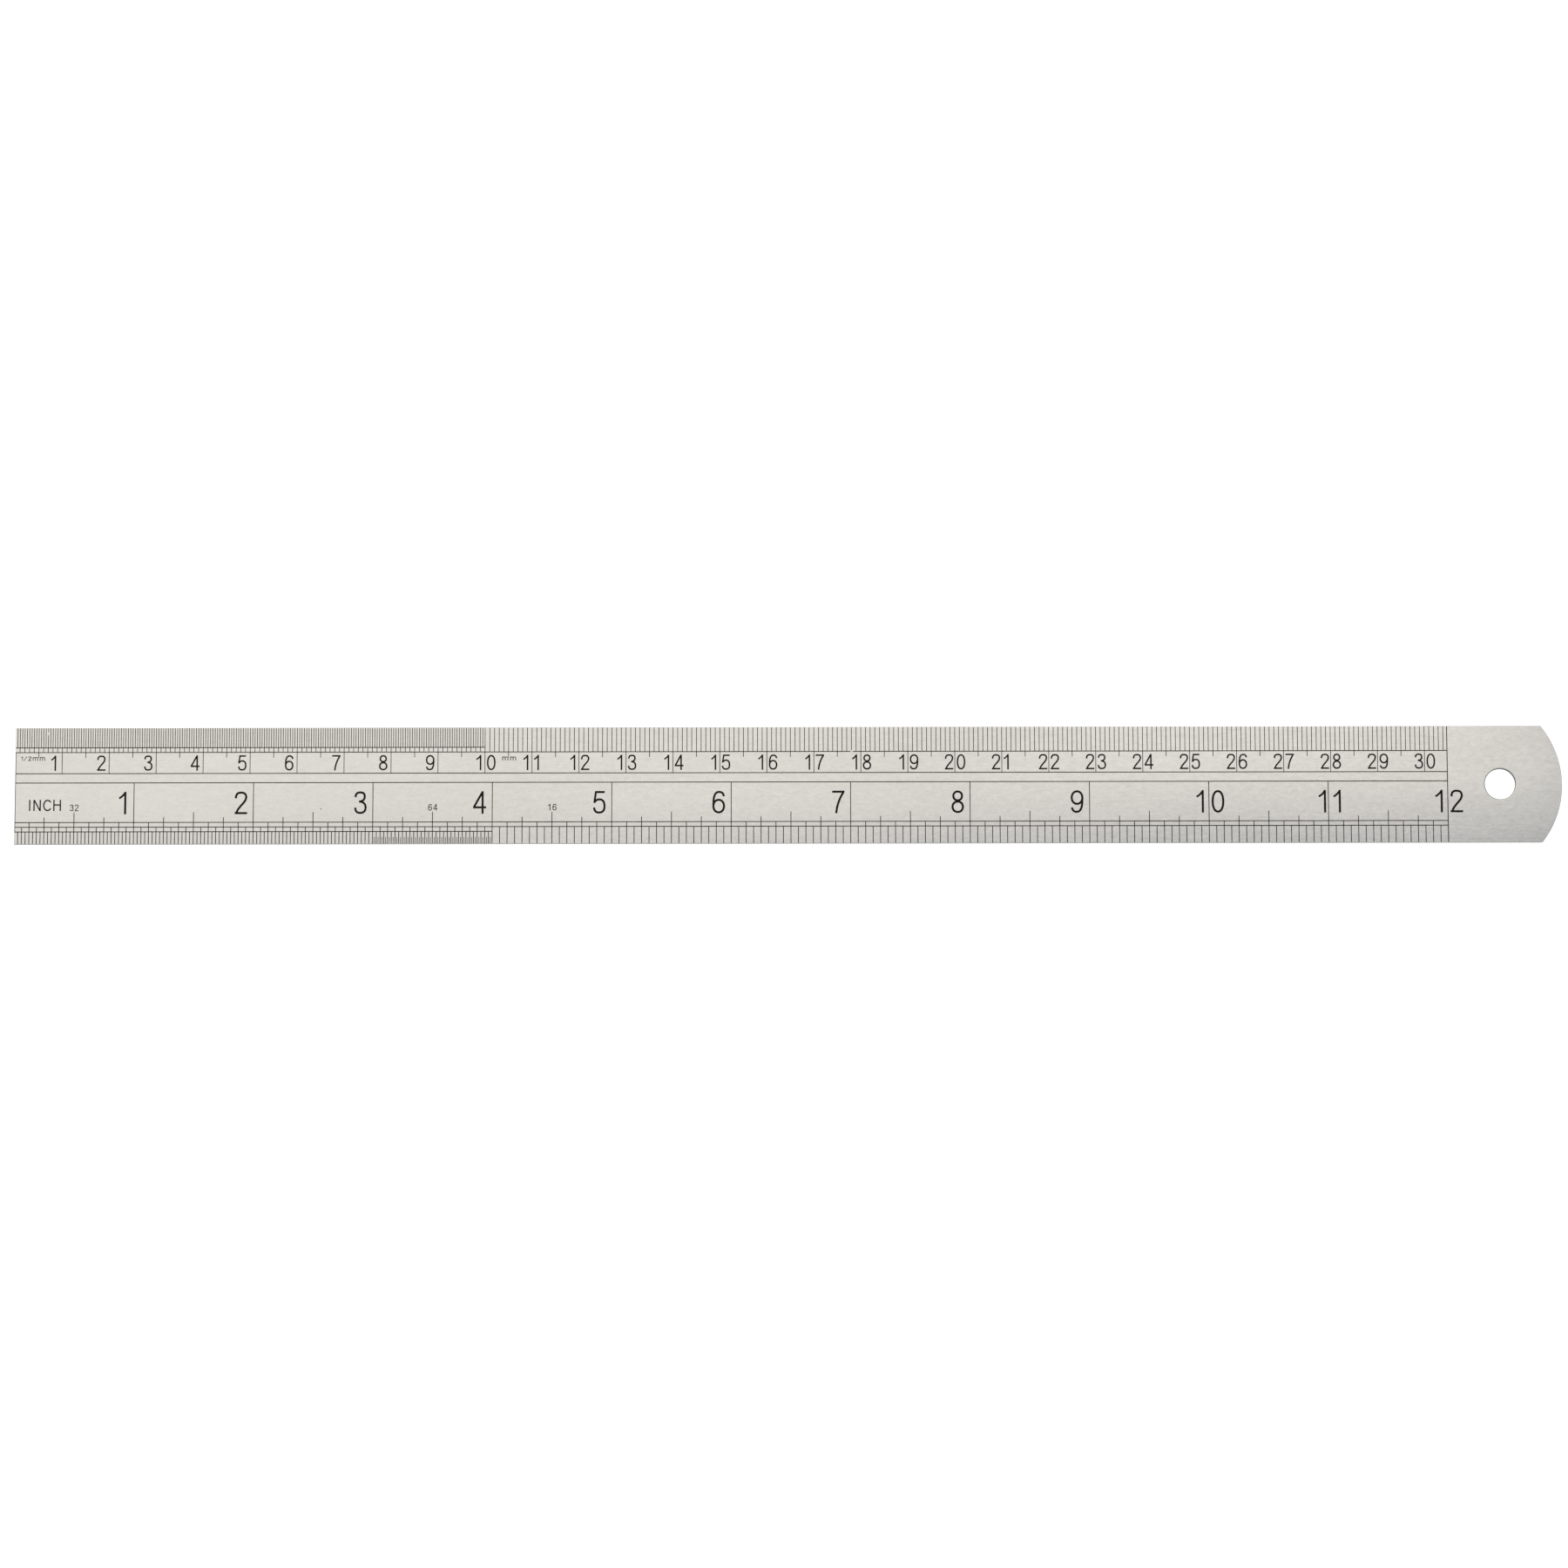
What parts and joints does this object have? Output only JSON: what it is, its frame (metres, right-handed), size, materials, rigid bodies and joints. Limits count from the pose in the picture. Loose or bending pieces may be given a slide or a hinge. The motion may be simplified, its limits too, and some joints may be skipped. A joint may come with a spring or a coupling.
{
  "type": "steel ruler",
  "caption": "Flat steel ruler with a square zero end, a rounded end with a hanging hole, and metric and inch graduations etched along opposite edges and filled in black.",
  "frame": {"origin": "middle of the back face: half way along the length and across the width, on the surface the ruler lies on", "axes": "+X along the length, from the zero end to the hanging hole; +Y across the width, towards the metric edge; +Z out of the graduated face"},
  "size_m": [0.3292, 0.025, 0.001],
  "materials": {
    "steel": "satin stainless, fine grain along the length",
    "enamel": "matt black etch filling"
  },
  "bodies": {
    "root": {"steel_blade": "steel", "half_millimetre_marks": "enamel", "millimetre_marks": "enamel", "centimetre_lines": "enamel", "centimetre_figures": "enamel", "half_millimetre_label": "enamel", "millimetre_label": "enamel", "inch_lines": "enamel", "eighth_inch_marks": "enamel", "sixteenth_inch_marks": "enamel", "thirty_second_inch_marks": "enamel", "sixty_fourth_inch_marks": "enamel", "inch_figures": "enamel", "inch_label": "enamel", "fraction_labels": "enamel", "zero_line": "enamel", "scale_end_line": "enamel"}
  },
  "joints": []
}
